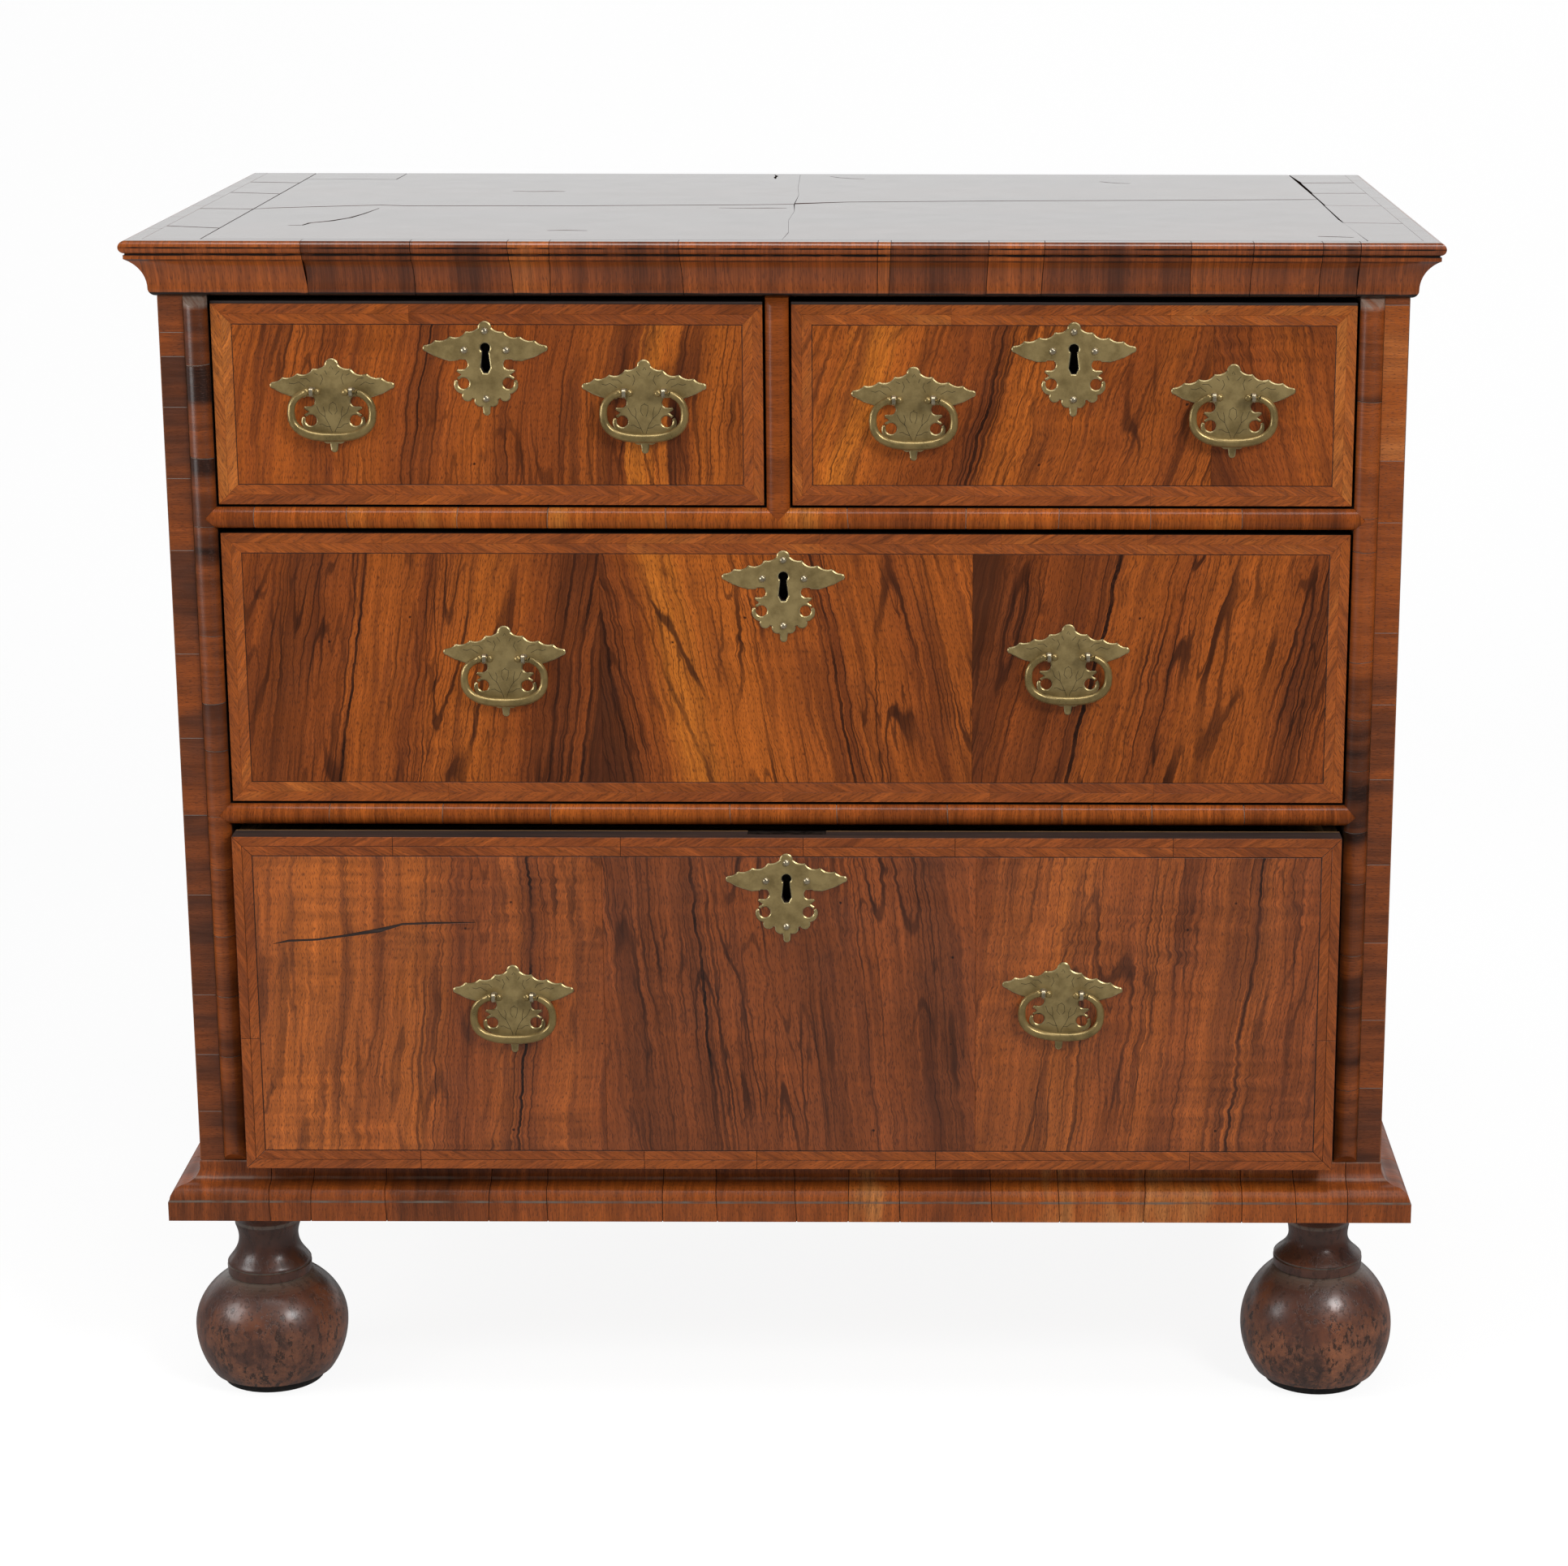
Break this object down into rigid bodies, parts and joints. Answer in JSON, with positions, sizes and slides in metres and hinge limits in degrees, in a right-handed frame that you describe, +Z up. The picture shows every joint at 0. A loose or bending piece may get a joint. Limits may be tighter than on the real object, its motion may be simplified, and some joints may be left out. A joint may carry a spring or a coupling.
{
  "type": "chest of drawers",
  "caption": "Walnut chest of drawers on turned ball feet: short drawers over long ones, half-round mouldings, moulded top and base, pierced brass handles with swinging bails, locks with bolts.",
  "frame": {"origin": "on the floor, under the middle of the whole piece's box", "axes": "+Z up, drawers open towards -Y, +X to the right as seen from the front"},
  "size_m": [0.976, 0.5632, 0.924],
  "materials": {
    "walnut": "walnut veneer under old wax polish",
    "dark_walnut": "dark stained and polished walnut",
    "pine": "bare aged pine",
    "oak": "bare aged oak",
    "brass": "aged cast and engraved brass",
    "iron": "dull wrought iron",
    "black_pad": "matt black"
  },
  "bodies": {
    "case": {"top_board": "walnut", "cornice_front": "walnut", "cornice_returns": "walnut", "side_left": "walnut", "side_right": "walnut", "bottom_board": "pine", "back_boards": "pine", "dustboards": "pine", "top_rail": "pine", "drawer_rails": "pine", "divider": "walnut", "stile_mouldings": "dark_walnut", "rail_mouldings": "walnut", "stile_posts": "pine", "drawer_guides": "oak", "base_front": "walnut", "base_returns": "walnut", "foot_bearers": "pine", "feet": "dark_walnut", "foot_pads": "black_pad"},
    "top_left_drawer": {"top_left_front": "walnut", "top_left_sides": "oak", "top_left_back": "oak", "top_left_bottom": "oak", "top_left_lock": "iron", "top_left_escutcheon": "brass", "top_left_handle_plates": "brass"},
    "top_left_bolt_body": {"top_left_bolt": "iron"},
    "top_left_bail_left_body": {"top_left_bail_left": "brass"},
    "top_left_bail_right_body": {"top_left_bail_right": "brass"},
    "top_right_drawer": {"top_right_front": "walnut", "top_right_sides": "oak", "top_right_back": "oak", "top_right_bottom": "oak", "top_right_lock": "iron", "top_right_escutcheon": "brass", "top_right_handle_plates": "brass"},
    "top_right_bolt_body": {"top_right_bolt": "iron"},
    "top_right_bail_left_body": {"top_right_bail_left": "brass"},
    "top_right_bail_right_body": {"top_right_bail_right": "brass"},
    "middle_drawer": {"middle_front": "walnut", "middle_sides": "oak", "middle_back": "oak", "middle_bottom": "oak", "middle_lock": "iron", "middle_escutcheon": "brass", "middle_handle_plates": "brass"},
    "middle_bolt_body": {"middle_bolt": "iron"},
    "middle_bail_left_body": {"middle_bail_left": "brass"},
    "middle_bail_right_body": {"middle_bail_right": "brass"},
    "bottom_drawer": {"bottom_front": "walnut", "bottom_sides": "oak", "bottom_back": "oak", "bottom_bottom": "oak", "bottom_lock": "iron", "bottom_escutcheon": "brass", "bottom_handle_plates": "brass"},
    "bottom_bolt_body": {"bottom_bolt": "iron"},
    "bottom_bail_left_body": {"bottom_bail_left": "brass"},
    "bottom_bail_right_body": {"bottom_bail_right": "brass"}
  },
  "joints": [
    {"name": "top_left_drawer_slide", "type": "slide", "parent": "case", "child": "top_left_drawer", "axis": [0, -1, 0], "range_m": [0, 0.38]},
    {"name": "top_left_bolt_slide", "type": "slide", "parent": "top_left_drawer", "child": "top_left_bolt_body", "axis": [0, 0, 1], "range_m": [0, 0.009]},
    {"name": "top_left_bail_left_hinge", "type": "hinge", "parent": "top_left_drawer", "child": "top_left_bail_left_body", "pos_m": [-0.33775, -0.2539, 0.8107], "axis": [-1, 0, 0], "range_deg": [-3, 170]},
    {"name": "top_left_bail_right_hinge", "type": "hinge", "parent": "top_left_drawer", "child": "top_left_bail_right_body", "pos_m": [-0.10475, -0.2539, 0.8102], "axis": [-1, 0, 0], "range_deg": [-3, 170]},
    {"name": "top_right_drawer_slide", "type": "slide", "parent": "case", "child": "top_right_drawer", "axis": [0, -1, 0], "range_m": [0, 0.38]},
    {"name": "top_right_bolt_slide", "type": "slide", "parent": "top_right_drawer", "child": "top_right_bolt_body", "axis": [0, 0, 1], "range_m": [0, 0.009]},
    {"name": "top_right_bail_left_hinge", "type": "hinge", "parent": "top_right_drawer", "child": "top_right_bail_left_body", "pos_m": [0.0965, -0.2539, 0.8052], "axis": [-1, 0, 0], "range_deg": [-3, 170]},
    {"name": "top_right_bail_right_hinge", "type": "hinge", "parent": "top_right_drawer", "child": "top_right_bail_right_body", "pos_m": [0.3355, -0.2539, 0.8077], "axis": [-1, 0, 0], "range_deg": [-3, 170]},
    {"name": "middle_drawer_slide", "type": "slide", "parent": "case", "child": "middle_drawer", "axis": [0, -1, 0], "range_m": [0, 0.38]},
    {"name": "middle_bolt_slide", "type": "slide", "parent": "middle_drawer", "child": "middle_bolt_body", "axis": [0, 0, 1], "range_m": [0, 0.009]},
    {"name": "middle_bail_left_hinge", "type": "hinge", "parent": "middle_drawer", "child": "middle_bail_left_body", "pos_m": [-0.2145, -0.2539, 0.6072], "axis": [-1, 0, 0], "range_deg": [-3, 170]},
    {"name": "middle_bail_right_hinge", "type": "hinge", "parent": "middle_drawer", "child": "middle_bail_right_body", "pos_m": [0.2145, -0.2539, 0.6092], "axis": [-1, 0, 0], "range_deg": [-3, 170]},
    {"name": "bottom_drawer_slide", "type": "slide", "parent": "case", "child": "bottom_drawer", "axis": [0, -1, 0], "range_m": [-0.024, 0.356]},
    {"name": "bottom_bolt_slide", "type": "slide", "parent": "bottom_drawer", "child": "bottom_bolt_body", "axis": [0, 0, 1], "range_m": [0, 0.009]},
    {"name": "bottom_bail_left_hinge", "type": "hinge", "parent": "bottom_drawer", "child": "bottom_bail_left_body", "pos_m": [-0.212, -0.2779, 0.3452], "axis": [-1, 0, 0], "range_deg": [-3, 170]},
    {"name": "bottom_bail_right_hinge", "type": "hinge", "parent": "bottom_drawer", "child": "bottom_bail_right_body", "pos_m": [0.21177, -0.2779, 0.34821], "axis": [-0.9986, 0, 0.0523], "range_deg": [-3, 170]}
  ]
}
